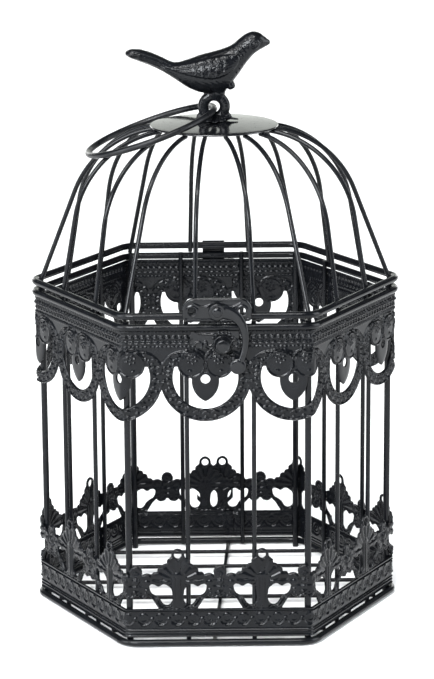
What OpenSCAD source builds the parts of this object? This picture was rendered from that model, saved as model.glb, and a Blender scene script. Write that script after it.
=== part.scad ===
// Wire card cage: a hexagonal birdcage card box for a wedding table. Six corner
// posts and twelve bars stand on a wire ring, two stamped lace bands wrap them,
// and a wire dome lid turns on the back of its own ring and is held by a hook.
// Origin: centre of the base on the table. +Z is up, the latch faces -Y.

/* [Cage] */
// Corner radius of the body and lid rings, to the wire's centre, before bending
ring_corner = 80; // [78:0.5:84]
// Corner radius of the base ring, to the wire's centre, before bending
base_corner = 79.8; // [79:0.1:80]
// Thickness of the ring wire
ring_wire = 3; // [2.6:0.1:3.2]
// Bend radius of the ring wire at each corner, to the wire's centre
ring_bend = 9; // [6:1:14]
// Distance of the corner posts from the middle
post_radius = 75.8; // [75.6:0.05:75.9]
// Thickness of the corner posts
post_wire = 2.8; // [2.4:0.1:2.8]
// Thickness of the side bars
bar_wire = 2; // [1.6:0.1:2.2]
// Height of the base ring's wire centre above the table
base_z = 2.1; // [2:0.1:3]
// Height of the body ring's wire centre above the table
body_z = 140.4; // [130:0.2:160]
// Thickness of the floor wires
floor_wire_d = 1.8; // [1.4:0.1:2]
// Angle of the centre floor wire to the front-to-back line
floor_skew = 3.5; // [0:0.5:6]

/* [Lace bands] */
// Thickness of the stamped sheet
sheet = 0.55; // [0.4:0.05:0.6]
// Pitch of the scallops along the upper band
scallop_pitch = 36.7; // [35:0.1:38]
// Place of the front scallop's middle, to the right of the cage's middle
scallop_start = -5; // [-18:0.5:18]
// Outer radius of a scallop's ribbon
scallop_r = 19; // [18.6:0.1:19.4]
// Radius of a scallop's opening
scallop_hole_r = 13.6; // [12:0.1:14]
// Height of the upper band, from its top edge to a scallop's middle
scallop_drop = 20.1; // [18:0.1:24]
// Pitch of the palmettes along the lower band
palm_pitch = 35.7; // [34:0.1:37]
// Place of the first palmette to the left of the cage's middle
palm_start = -17.3; // [-18:0.5:18]
// Height of the frieze along the bottom of the lower band
frieze_h = 12.8; // [10:0.2:14]

/* [Lid] */
// Height of the lid ring's wire centre above the body ring's
lid_lift = 4.8; // [4.6:0.1:8]
// Thickness of the dome ribs
rib_wire = 2; // [1.6:0.1:2.2]
// Distance of the rib feet from the middle at a corner
rib_foot_r = 76; // [75.8:0.1:76]
// Height of the rib ends above the lid ring's centre
rib_rise = 66.8; // [60:0.2:72]
// Radius at which the ribs end under the cap
rib_end_r = 25; // [22:0.5:26]
// Bend radius of the rib's shoulder
rib_bend = 43; // [38:1:46]
// Angle by which the rib ends are turned round the cap from their feet
rib_twist = 0.6; // [0.2:0.1:2]
// Slope of a rib where it ends under the cap
rib_end_slope = 6; // [2:1:10]
// Radius of the cap
cap_r = 27.8; // [26:0.1:30]
// Rise of the cap from its rim to its middle
cap_crown = 1.6; // [1:0.1:3]
// Thickness of the cap
cap_sheet = 0.8; // [0.6:0.1:1]

/* [Finial and handle] */
// Height of the eye's middle above the cap's rim
eye_lift = 8.5; // [8:0.1:10]
// Outer radius of the eye
eye_r = 7; // [6:0.1:7]
// Radius of the hole through the eye
eye_hole_r = 2.4; // [2.3:0.1:3]
// Thickness of the eye
eye_w = 4.4; // [4:0.1:5]
// Thickness of the handle ring's wire
handle_wire = 2.7; // [2.4:0.1:2.8]
// Radius of the handle ring, to the wire's centre
handle_r = 28.8; // [27:0.1:31]
// Angle at which the handle ring leans on the dome, below level
handle_lean = 19.2; // [16:0.1:19.2]

/* [Latch and hinge] */
// Width of the latch plate
latch_w = 28.8; // [24:0.2:32]
// Height of the latch plate
latch_h = 10; // [9:0.1:11]
// Height of the rivet above the lid ring's centre
rivet_up = 2.5; // [2.4:0.1:3]
// Thickness of the hook
hook_t = 1.3; // [1:0.1:1.6]
// Width of the hinge strap
hinge_w = 10; // [8:0.5:14]
// Running gap between the hinge strap's roll and the lid ring
hinge_gap = 0.06; // [0.03:0.01:0.09]

/* [Hidden] */
$fn = 48;

black = [0.10, 0.10, 0.11];
soft_black = [0.14, 0.14, 0.15];
ring_r = ring_wire / 2;
joint_swell = 0.03;                             // a straight wire meets its bend in a ball this much larger
touch = 0.05;                                   // how far welded wires bite into each other
lid_z = body_z + lid_lift;
ring_apothem = ring_corner * cos(30);
base_apothem = base_corner * cos(30);
bar_apothem = ring_apothem - ring_r - bar_wire / 2 + touch;
rib_apothem = ring_apothem - ring_r - rib_wire / 2 - touch;
post_top = lid_z - ring_r - 1.2;
rib_bottom = post_top + 0.3;

// Places of the two bars and the two ribs along each side, as fractions of it,
// counter-clockwise from the +X corner: the wires are set by hand, not evenly
bar_places = [[0.28, 0.70], [0.33, 0.70], [0.33, 0.71], [0.29, 0.65], [0.33, 0.70], [0.33, 0.72]];
rib_places = [[0.30, 0.66], [0.29, 0.64], [0.32, 0.68], [0.30, 0.68], [0.38, 0.70], [0.32, 0.68]];

// Floor: cross wires lie on the centre wire, at even steps from front to back
floor_step = 21;
floor_first = -55.4;
floor_r = floor_wire_d / 2;
centre_wire_z = base_z - floor_r;
cross_wire_z = base_z + floor_r;
lace_gap = 0.7;                                 // between the base ring and the lower band
weld_ease = 0.2;                                // how far the floor wires stop short of a full bite
floor_reach = base_apothem - sqrt(ring_r * ring_r - floor_r * floor_r) - weld_ease;

// Bands
band_in = bar_apothem + bar_wire / 2 + touch;
band_mid = band_in + sheet / 2;
side_len = 2 * band_mid * tan(30);
side_gap = 0.04;                                // left at each corner between the lace of two sides
fold_arm = 2;                                   // reach of a folded corner along each side
fold_inset = 0.1;                               // how much thinner than the sheet a folded corner is, each side
upper_top = body_z - ring_r - touch;
scallop_z = upper_top - scallop_drop;
lobe_x = 5.8;                                   // the two drops above a scallop's heart
lobe_up = 5.4;
lobe_r = 5.8;
hole_top = 4.7;
heart_arc = 9.5;                                // a heart's sides, where it is widest, its hole
heart_half = 5.75;
heart_up = -1.6;
heart_hole_r = 2;
lower_bottom = base_z + ring_r + lace_gap;
frieze_top = lower_bottom + frieze_h;

// Cap, eye and handle
cap_z = lid_z + rib_rise + rib_wire / 2 - cap_crown * (1 - pow(rib_end_r / cap_r, 2)) + 0.1;
cap_top = cap_z + cap_sheet + cap_crown;
eye_z = cap_z + eye_lift;
stud_r = 2;
foot_r = 9;
neck_x = 1.3;
handle_pivot_z = eye_z - 0.8;

// Latch, all seen from the front
plate_back = ring_apothem + ring_r + 0.04;
latch_t = 0.8;
hook_back = plate_back + latch_t + 0.08;
hook_front = hook_back + hook_t;
rivet_r = 1.45;
rivet_z = lid_z + rivet_up;
catch_back = band_in + sheet + 0.5;
catch_t = 0.8;
stud_x = 2.3;
stud_z = body_z - 7.3;

function corner(k, r) = [r * cos(60 * k), r * sin(60 * k)];
function cap_under(r) = cap_z + cap_crown * (1 - pow(r / cap_r, 2));

// A point at fraction f along side k, at distance a from the middle
function side_point(k, f, a, r) =
    let (p = corner(k, r) * (1 - f) + corner(k + 1, r) * f,
         n = [cos(60 * k + 30), sin(60 * k + 30)])
    p + n * (a - r * cos(30));

// ---- wires -------------------------------------------------------------

// A closed hexagonal wire ring with bent corners
module hex_ring(r_corner, z) {
    reach = ring_bend * tan(30);
    side = r_corner - 2 * reach;
    translate([0, 0, z])
    for (k = [0:5]) {
        rotate([0, 0, 60 * k + 30])
        translate([r_corner * cos(30), 0, 0])
        rotate([90, 0, 0]) {
            cylinder(r = ring_r, h = side, center = true);
            for (end = [-1, 1]) translate([0, 0, end * side / 2]) sphere(r = ring_r + joint_swell);
        }
        rotate([0, 0, 60 * k])
        translate([r_corner - ring_bend / cos(30), 0, 0])
        rotate([0, 0, -30])
        rotate_extrude(angle = 60) translate([ring_bend, 0]) circle(r = ring_r);
    }
}

module base_ring() { color(black) hex_ring(base_corner, base_z); }

module body_ring() { color(black) hex_ring(ring_corner, body_z); }

module lid_ring() { color(black) hex_ring(ring_corner, lid_z); }

module floor_wire(i) {
    y = floor_first + floor_step * (i - 1);
    half = (floor_reach - weld_ease / 2 - abs(y) / 2) / cos(30);
    color(black)
    translate([0, y, cross_wire_z])
    rotate([0, 90, 0]) cylinder(r = floor_r, h = 2 * half, center = true);
}

module floor_centre_wire() {
    color(black)
    translate([2, 0, centre_wire_z])
    rotate([0, 0, -floor_skew])
    rotate([90, 0, 0]) cylinder(r = floor_r, h = 2 * floor_reach / cos(floor_skew), center = true);
}

// A corner post runs down inside the base ring, and its end is a foot of the cage
module corner_post(i) {
    p = corner(i - 1, post_radius);
    color(black)
    translate([p.x, p.y, 0])
    cylinder(r = post_wire / 2, h = post_top);
}

module side_bar(i) {
    k = floor((i - 1) / 2);
    p = side_point(k, bar_places[k][(i - 1) % 2], bar_apothem, post_radius);
    foot = base_z - ring_r / 2;
    color(black)
    translate([p.x, p.y, foot])
    cylinder(r = bar_wire / 2, h = post_top - foot);
}

// A rib runs in an upright plane from its foot to its end under the cap: a
// straight leg, then one bend. The leg's angle follows from where the two ends are.
module rib_between(foot, end) {
    run = norm(end - foot);
    w = run + rib_bend * sin(rib_end_slope);
    h = rib_rise - rib_bend * cos(rib_end_slope);
    lean = atan2(h, w) + asin(rib_bend / norm([w, h]));
    leg = w * cos(lean) + h * sin(lean);
    below = (lid_z - rib_bottom) / sin(lean);
    toward = atan2(end.y - foot.y, end.x - foot.x);
    translate([foot.x, foot.y, lid_z])
    rotate([0, 0, toward])
    rotate([90, 0, 0]) {
        rotate([0, 0, lean])
        rotate([0, 90, 0]) {
            translate([0, 0, -below]) cylinder(r = rib_wire / 2, h = leg + below);
            translate([0, 0, leg]) sphere(r = rib_wire / 2 + joint_swell);
        }
        translate([leg * cos(lean) + rib_bend * sin(lean), leg * sin(lean) - rib_bend * cos(lean), 0])
        rotate([0, 0, 90 + rib_end_slope])
        rotate_extrude(angle = lean - rib_end_slope)
        translate([rib_bend, 0]) circle(r = rib_wire / 2);
    }
}

module dome_rib(i) {
    k = floor((i - 1) / 3);
    step = (i - 1) % 3;
    foot = step == 0 ? corner(k, rib_foot_r)
                     : side_point(k, rib_places[k][step - 1], rib_apothem, rib_foot_r);
    turn = 60 * k + 20 * step + rib_twist;
    end = rib_end_r * [cos(turn), sin(turn)];
    color(black) rib_between(foot, end);
}

// ---- lace bands --------------------------------------------------------

// Bends a flat pattern round the cage: children are drawn flat, with x along the
// band from the middle of the front and y as height. Each side shows its window,
// and a folded corner joins the sides over the heights where the band is solid.
module wrap_band(z_low, z_high, solid_low, solid_high) {
    half = band_in * tan(30) - side_gap;
    for (k = [-3:3]) {
        left = k == -3 ? 0 : -half;
        right = k == 3 ? 0 : half;
        rotate([0, 0, 60 * k])
        translate([0, -band_in, 0])
        rotate([90, 0, 0])
        linear_extrude(sheet)
        intersection() {
            translate([left, z_low]) square([right - left, z_high - z_low]);
            translate([-k * side_len, 0]) children();
        }
    }
    inner = (band_in + fold_inset) / cos(30);
    outer = (band_in + sheet - fold_inset) / cos(30);
    arm = fold_arm * [-cos(60), sin(60)];
    for (k = [0:5])
        rotate([0, 0, 60 * k])
        translate([0, 0, solid_low + fold_inset])
        linear_extrude(solid_high - solid_low - 2 * fold_inset)
        polygon([[outer, 0], [outer, 0] + arm, [inner, 0] + arm, [inner, 0],
                 [inner + arm.x, -arm.y], [outer + arm.x, -arm.y]]);
}

// Repeats a cell along the whole band, up to the seam at the middle of the back
module repeat_cells(start, pitch) {
    first = floor((-3 * side_len - start) / pitch);
    last = ceil((3 * side_len - start) / pitch);
    for (j = [first:last]) translate([start + j * pitch, 0]) children();
}

module scallop_cell() {
    difference() {
        union() {
            translate([0, scallop_z]) circle(r = scallop_r);
            translate([-scallop_pitch / 2, scallop_z])
            square([scallop_pitch, upper_top - scallop_z]);
        }
        difference() {
            translate([0, scallop_z]) circle(r = scallop_hole_r);
            translate([-scallop_r, scallop_z + hole_top]) square([2 * scallop_r, scallop_r]);
            for (side = [-1, 1]) translate([side * lobe_x, scallop_z + lobe_up]) circle(r = lobe_r);
            intersection_for(side = [-1, 1])
                translate([side * (heart_arc - heart_half), scallop_z + heart_up]) circle(r = heart_arc);
        }
        translate([0, scallop_z]) circle(r = heart_hole_r);
    }
}

module upper_lace_band() {
    color(soft_black)
    wrap_band(scallop_z - scallop_r, upper_top, scallop_z + hole_top + 0.5, upper_top)
    repeat_cells(scallop_start, scallop_pitch) scallop_cell();
}

// One palmette with its eyelet, two leaf arms, two scrolls and half a floret each side
module palm_cell() {
    z0 = frieze_top;
    half = palm_pitch / 2;
    petal_out = 4.9;
    petal_r = 2.8;
    floret_z = z0 + 11.6;
    translate([-half, lower_bottom]) square([palm_pitch, frieze_h]);
    // trunk and fan
    translate([-2.2, z0 - 1]) square([4.4, 14]);
    difference() {
        union() {
            translate([0, z0 + 17]) circle(r = 5);
            translate([0, z0 + 24]) circle(r = 2.8);
            translate([-2.4, z0 + 19]) square([4.8, 4]);
            for (side = [-1, 1]) {
                translate([side * 4, z0 + 19]) circle(r = 3.1);
                translate([side * 7.6, z0 + 15.6]) circle(r = 2.9);
                translate([side * 5.2, z0 + 14.2]) circle(r = 3.2);
                translate([side * 10.6, z0 + 13.6]) circle(r = 2.2);
            }
        }
        translate([0, z0 + 24]) circle(r = 1.6);
    }
    for (side = [-1, 1]) {
        // scroll beside the trunk
        difference() {
            translate([side * 4.9 - 2.9, z0 - 1]) square([5.8, 5.2]);
            translate([side * 4.9, z0 + 4.4]) circle(r = 2.6);
        }
        polygon([[side * 6.6, z0 - 1], [side * 9, z0 - 1], [side * 11.8, z0 + 5.4], [side * 9.4, z0 + 6.2]]);
        // floret between two palmettes
        translate([side * half, floret_z]) {
            circle(r = 5);
            for (a = [90:72:378])
                translate([petal_out * cos(a), petal_out * sin(a)]) circle(r = petal_r);
        }
    }
}

module lower_lace_band() {
    color(soft_black)
    wrap_band(lower_bottom, frieze_top + 27, lower_bottom, frieze_top)
    repeat_cells(palm_start, palm_pitch) palm_cell();
}

// ---- hinge and latch ---------------------------------------------------

// The lid ring's back wire is the hinge pin, and this strap is rolled round it
module hinge_strap() {
    bore = ring_r + hinge_gap;
    wall = 0.6;
    color(black)
    translate([0, ring_apothem, lid_z])
    difference() {
        union() {
            rotate([0, 90, 0]) cylinder(r = bore + wall, h = hinge_w, center = true);
            translate([-hinge_w / 2, bore, -lid_lift - 5]) cube([hinge_w, wall, lid_lift + 5]);
        }
        rotate([0, 90, 0]) cylinder(r = bore, h = hinge_w + 2, center = true);
    }
}

// Draws a flat shape standing upright, its back at distance y in front of the middle
module front_sheet(y, t) {
    translate([0, -y, 0]) rotate([90, 0, 0]) linear_extrude(t) children();
}

module latch_plate() {
    corner_r = 5;
    foot_corner = 2;
    low = rivet_z - 4.5;
    screw_x = 10.4;
    color(black)
    front_sheet(plate_back, latch_t)
    difference() {
        union() {
            for (side = [-1, 1]) {
                translate([side * (latch_w / 2 - corner_r), low + latch_h - corner_r]) circle(r = corner_r);
                translate([side * (latch_w / 2 - foot_corner), low + foot_corner]) circle(r = foot_corner);
            }
            translate([-latch_w / 2 + corner_r, low]) square([latch_w - 2 * corner_r, latch_h]);
            translate([-latch_w / 2, low + foot_corner]) square([latch_w, latch_h - corner_r - foot_corner]);
        }
        translate([0, rivet_z]) circle(r = rivet_r + 0.02);
        for (side = [-1, 1]) translate([side * screw_x, rivet_z]) circle(r = 1.4);
    }
}

module latch_rivet() {
    color(black)
    translate([0, -plate_back, rivet_z])
    rotate([90, 0, 0]) {
        cylinder(r = rivet_r, h = hook_front - plate_back + 0.6);
        translate([0, 0, hook_front - plate_back + 0.4]) cylinder(r1 = 2.2, r2 = 1.5, h = 0.9);
    }
}

// The hook's arm follows a Bezier curve from the pivot round to the jaw
hook_path = [[0, 0], [13, 1], [14, -15], [8.5, -23.4]];
hook_steps = 16;
paddle_r = 3.4;                                 // the thumb disc on the hook's end
function bezier(p, t) = pow(1 - t, 3) * p[0] + 3 * t * pow(1 - t, 2) * p[1]
    + 3 * t * t * (1 - t) * p[2] + t * t * t * p[3];
function hook_half(t) = 3.3 - 4.6 * t + 2.6 * t * t;
function hook_normal(t) = let (d = bezier(hook_path, t + 0.01) - bezier(hook_path, t - 0.01))
    [-d.y, d.x] / norm(d);

module latch_hook() {
    ts = [for (i = [0:hook_steps]) i / hook_steps];
    tip = hook_path[3];
    tip_out = hook_normal(1) * hook_half(1);
    tip_turn = atan2(tip_out.y, tip_out.x);
    outer = [for (t = ts) bezier(hook_path, t) + hook_normal(t) * hook_half(t)];
    round_tip = [for (a = [20:20:160])
        tip + hook_half(1) * [cos(tip_turn - a), sin(tip_turn - a)]];
    inner = [for (i = [hook_steps:-1:0])
        bezier(hook_path, ts[i]) - hook_normal(ts[i]) * hook_half(ts[i])];
    color(black)
    translate([0, -hook_back, rivet_z])
    rotate([90, 0, 0])
    difference() {
        union() {
            linear_extrude(hook_t) polygon(concat(outer, round_tip, inner));
            translate([0, 0, -0.02]) cylinder(r = 3.6, h = hook_t + 0.3);
            translate([tip.x, tip.y, 0.02]) cylinder(r = paddle_r, h = hook_t - 0.04);
        }
        translate([0, 0, -1]) cylinder(r = rivet_r + 0.06, h = hook_t + 2);
    }
}

// A leaf plate under the body ring that carries the catch stud
module catch_plate() {
    color(black)
    front_sheet(catch_back, catch_t)
    union() {
        translate([-11, body_z - 4.6]) square([20, 2.8]);
        translate([stud_x, stud_z]) circle(r = 4.3);
        translate([-5.6, stud_z + 0.6]) circle(r = 3.6);
        translate([-9.4, stud_z + 1.2]) circle(r = 2.2);
        translate([7.4, stud_z + 0.4]) circle(r = 2.4);
        translate([-5.6, stud_z + 0.8]) square([8, 3]);
    }
}

module catch_stud() {
    shank = hook_front - catch_back - catch_t + 0.2;
    color(black)
    translate([stud_x, -catch_back - catch_t, stud_z])
    rotate([90, 0, 0]) {
        cylinder(r = 1.9, h = shank + 0.1);
        translate([0, 0, shank]) cylinder(r = 2.9, h = 0.5);
        translate([0, 0, shank + 0.5]) cylinder(r1 = 2.9, r2 = 2, h = 0.4);
    }
}

// ---- cap, finial and handle ---------------------------------------------

module dome_cap() {
    steps = 8;
    rs = [for (i = [0:steps]) cap_r - (cap_r - stud_r - 0.1) * i / steps];
    color(black)
    rotate_extrude()
    polygon(concat(
        [for (r = rs) [r, cap_under(r)]],
        [for (i = [steps:-1:0]) [rs[i], cap_under(rs[i]) + cap_sheet]]));
}

// Cast in one piece: foot and stud, eye, neck and the perched bird
module bird_finial() {
    color(soft_black) {
        difference() {
            union() {
                translate([0, 0, cap_top + 0.02]) cylinder(r1 = foot_r, r2 = 5, h = 2);
                hull() {
                    translate([0, 0, eye_z]) rotate([90, 0, 0]) cylinder(r = eye_r, h = eye_w, center = true);
                    translate([0, 0, cap_top + 1.5]) cube([15.6, eye_w, 2], center = true);
                }
                translate([neck_x, 0, eye_z + 3]) cylinder(r = 3.4, h = 6);
            }
            translate([0, 0, eye_z]) rotate([90, 0, 0]) cylinder(r = eye_hole_r, h = 20, center = true);
            translate([0, 0, cap_top - 5]) cylinder(r = foot_r, h = 5.02);
        }
        translate([0, 0, cap_z - 4.5]) cylinder(r = stud_r, h = cap_top - cap_z + 5.5);
        translate([0, 0, eye_z]) bird();
    }
}

module bird() {
    body = [-4.5, 0, 14.2];
    breast = [6, 0, 17.6];
    rump = [-14, 0, 15.5];
    head = [16.9, 0, 28.5];
    hull() {
        translate(body) sphere(r = 6.2, $fn = 28);
        translate(breast) sphere(r = 6.2, $fn = 28);
        translate(rump) sphere(r = 3.4, $fn = 28);
    }
    hull() {
        translate(breast + [1.5, 0, 2.6]) sphere(r = 5, $fn = 28);
        translate(head) sphere(r = 4.4, $fn = 28);
    }
    hull() {
        translate(rump) sphere(r = 2.6, $fn = 24);
        for (side = [-1, 1]) translate([-36.7, side * 2.4, 23.6]) sphere(r = 1.4, $fn = 24);
    }
    translate(head + [3.5, 0, -0.8]) rotate([0, 92, 0]) cylinder(r1 = 2, r2 = 0.3, h = 3.8);
}

module finial_nut() {
    color(black)
    difference() {
        translate([0, 0, cap_z + cap_crown - 3.3]) cylinder(r = 4, h = 3.2, $fn = 6);
        translate([0, 0, cap_z - 4]) cylinder(r = stud_r + 0.03, h = 8);
    }
}

module handle_ring() {
    color(black)
    translate([0, 0, handle_pivot_z])
    rotate([0, -handle_lean, 0])
    translate([-handle_r, 0, 0])
    rotate_extrude($fn = 96) translate([handle_r, 0]) circle(r = handle_wire / 2);
}

// ---- the nodes ----------------------------------------------------------

base_ring();
floor_centre_wire();
body_ring();
upper_lace_band();
lower_lace_band();
hinge_strap();
catch_plate();
catch_stud();
lid_ring();
dome_cap();
bird_finial();
finial_nut();
latch_plate();
latch_rivet();
latch_hook();
handle_ring();
for (i = [1:6]) {
    floor_wire(i);
    corner_post(i);
}
for (i = [1:12]) side_bar(i);
for (i = [1:18]) dome_rib(i);
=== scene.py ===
"""The looks of a birdcage card box: pressed lace bands, a cast bird, the latch and black paint."""
import math

import bpy
import numpy as np
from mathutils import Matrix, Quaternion, Vector


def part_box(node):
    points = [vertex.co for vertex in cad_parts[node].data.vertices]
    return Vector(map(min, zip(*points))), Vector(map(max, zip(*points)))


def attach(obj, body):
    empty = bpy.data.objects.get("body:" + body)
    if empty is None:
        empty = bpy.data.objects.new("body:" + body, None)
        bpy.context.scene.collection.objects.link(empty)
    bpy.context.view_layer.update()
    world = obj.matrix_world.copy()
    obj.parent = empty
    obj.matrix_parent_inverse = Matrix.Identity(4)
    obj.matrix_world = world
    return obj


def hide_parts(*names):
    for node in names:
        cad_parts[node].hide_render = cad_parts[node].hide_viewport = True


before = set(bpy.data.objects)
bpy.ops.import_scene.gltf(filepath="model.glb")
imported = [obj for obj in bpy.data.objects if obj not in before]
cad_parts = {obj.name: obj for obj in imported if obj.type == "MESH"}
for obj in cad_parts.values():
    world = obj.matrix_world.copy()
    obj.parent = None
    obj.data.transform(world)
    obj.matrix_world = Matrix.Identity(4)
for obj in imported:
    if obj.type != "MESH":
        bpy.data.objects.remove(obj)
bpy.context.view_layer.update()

MM = 0.001
TAN30 = math.tan(math.radians(30))


def box_mm(node):
    """The lowest and highest corner of a CAD node, in millimetres."""
    low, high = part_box(node)
    return low / MM, high / MM


# ---- camera, light and floor ------------------------------------------------

FOCAL_IN_IMAGES = 4.1022          # focal length over the picture's height
LENS_SHIFT = 0.0022091311         # sideways shift of the lens over the picture's height
SENSOR = 36.0
ROLL = -0.38                      # degrees
EYE = (-12.4, -1187.9, 417.5)     # where the camera stands, in millimetres
AIM = (0, 0, 117.7)


def add_camera():
    """The photograph's view: a long lens, a little above the cage and turned by half a degree."""
    data = bpy.data.cameras.new("camera")
    data.sensor_width = SENSOR
    data.lens = SENSOR * FOCAL_IN_IMAGES
    data.shift_x = LENS_SHIFT
    camera = bpy.data.objects.new("camera", data)
    place = Vector(EYE) * MM
    turn = (Vector(AIM) * MM - place).to_track_quat("-Z", "Y")
    camera.rotation_euler = (turn @ Quaternion((0, 0, 1), math.radians(ROLL))).to_euler()
    camera.location = place
    bpy.context.scene.collection.objects.link(camera)
    bpy.context.scene.camera = camera


CAGE_MIDDLE, DOME_MIDDLE = (0, 0, 0.12), (0, 0, 0.2)
WHITE, KEY_BLUE, SIDE_BLUE, GREENISH = (1, 1, 1), (0.94, 0.97, 1), (0.92, 0.96, 1), (0.96, 1, 0.94)

# Soft boxes: place, aim and size in metres, power in watts, and tint
BOXES = (
    ("left_box", (-1.3, -0.7, 0.5), CAGE_MIDDLE, (0.8, 1.2), 26, SIDE_BLUE),
    ("right_box", (1.4, -0.3, 0.6), CAGE_MIDDLE, (0.8, 1.2), 22, SIDE_BLUE),
    ("key_box", (-0.6, -1.75, 0.95), CAGE_MIDDLE, (1.0, 0.6), 62, KEY_BLUE),
    ("top_box", (-0.2, -0.8, 1.5), CAGE_MIDDLE, (1.1, 0.2), 20, WHITE),
    ("back_left_box", (-0.95, 1.9, 0.5), CAGE_MIDDLE, (0.8, 0.6), 5, WHITE),
    ("back_right_box", (0.95, 1.9, 0.5), CAGE_MIDDLE, (0.8, 0.6), 5, WHITE),
    ("back_low_box", (0, 2.3, 0.62), DOME_MIDDLE, (2.6, 1.0), 9, GREENISH),
)


def add_light(name, place, aim, size, power, tint):
    """A soft rectangular studio light."""
    data = bpy.data.lights.new(name, "AREA")
    data.shape = "RECTANGLE"
    data.size, data.size_y = size
    data.energy = power
    data.color = tint
    light = bpy.data.objects.new(name, data)
    light.location = place
    light.rotation_euler = (Vector(aim) - Vector(place)).to_track_quat("-Z", "Y").to_euler()
    bpy.context.scene.collection.objects.link(light)


def add_floor():
    """A matt white floor that belongs to the picture and not to the cage."""
    bpy.ops.mesh.primitive_plane_add(size=12)
    floor = bpy.context.object
    floor.name = "floor"
    paint = bpy.data.materials.new("floor_white")
    paint.use_nodes = True
    shader = paint.node_tree.nodes["Principled BSDF"]
    shader.inputs["Base Color"].default_value = (0.9, 0.9, 0.9, 1)
    shader.inputs["Roughness"].default_value = 0.9
    shader.inputs["Specular IOR Level"].default_value = 0.1
    floor.data.materials.append(paint)


def add_lights():
    """A dim white world, a wide overhead light, and soft boxes in front, at the sides and behind."""
    world = bpy.data.worlds.new("studio")
    world.use_nodes = True
    world.node_tree.nodes["Background"].inputs["Color"].default_value = (0.95, 0.97, 1, 1)
    world.node_tree.nodes["Background"].inputs["Strength"].default_value = 0.1
    bpy.context.scene.world = world
    bpy.context.scene.view_settings.view_transform = "Standard"

    overhead = bpy.data.lights.new("overhead", "SUN")
    overhead.energy = 2.5
    overhead.angle = math.radians(60)
    light = bpy.data.objects.new("overhead", overhead)
    light.rotation_euler = Vector((-0.3, -0.55, 1)).to_track_quat("Z", "Y").to_euler()
    bpy.context.scene.collection.objects.link(light)

    for box in BOXES:
        add_light(*box)


# ---- shapes drawn as fields -------------------------------------------------
# A field is an array of heights or distances over a grid of places, all in millimetres.


def bump(distance, radius):
    """A round bump: 1 in its middle, 0 from radius on."""
    return np.sqrt(np.clip(1 - (distance / radius) ** 2, 0, 1))


def ridge(distance, half):
    """A soft ridge along the places where distance is 0."""
    return np.clip(1 - (distance / half) ** 2, 0, 1)


def fold(u, pitch, start=0.0):
    """How far each place is from the nearest of an even row of points."""
    return (u - start + pitch / 2) % pitch - pitch / 2


def soft_step(x, low, high):
    """0 up to low, 1 from high, and smooth between them."""
    t = np.clip((x - low) / (high - low), 0, 1)
    return t * t * (3 - 2 * t)


def depth_in(x, y, corners):
    """How deep each place lies inside a closed outline; below 0 outside it."""
    nearest = np.full(x.shape, np.inf)
    within = np.zeros(x.shape, bool)
    for (ax, ay), (bx, by) in zip(corners, corners[1:] + corners[:1]):
        ex, ey = bx - ax, by - ay
        along = np.clip(((x - ax) * ex + (y - ay) * ey) / (ex * ex + ey * ey), 0, 1)
        nearest = np.minimum(nearest, np.hypot(x - ax - along * ex, y - ay - along * ey))
        if ey:
            within ^= ((ay > y) != (by > y)) & (x < ax + (y - ay) * ex / ey)
    return np.where(within, nearest, -nearest)


def smooth_outline(points, steps=4):
    """A closed outline that runs smoothly through the points."""
    p = np.array(points, float)
    before, after, beyond = np.roll(p, 1, 0), np.roll(p, -1, 0), np.roll(p, -2, 0)
    out = []
    for i in range(len(p)):
        for t in np.arange(steps) / steps:
            a = 2 * p[i] + (after[i] - before[i]) * t
            b = (2 * before[i] - 5 * p[i] + 4 * after[i] - beyond[i]) * t**2
            c = (3 * p[i] - before[i] - 3 * after[i] + beyond[i]) * t**3
            out.append(tuple((a + b + c) / 2))
    return out


def disc(x, y, at, radius):
    """How deep each place lies inside a circle."""
    return radius - np.hypot(x - at[0], y - at[1])


def higher(*fields):
    """The highest field at each place, which joins shapes."""
    return np.maximum.reduce(fields)


def lower(*fields):
    """The lowest field at each place, which keeps what shapes share."""
    return np.minimum.reduce(fields)


# ---- meshes ----------------------------------------------------------------


def add_mesh(name, points, faces, sharp=50):
    """A smooth-shaded object from points in millimetres, with creases where faces turn sharply."""
    mesh = bpy.data.meshes.new(name)
    mesh.from_pydata((np.asarray(points) * MM).tolist(), [], faces)
    mesh.polygons.foreach_set("use_smooth", np.ones(len(mesh.polygons), bool))
    mesh.set_sharp_from_angle(angle=math.radians(sharp))
    piece = bpy.data.objects.new(name, mesh)
    bpy.context.scene.collection.objects.link(piece)
    return piece


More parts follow.
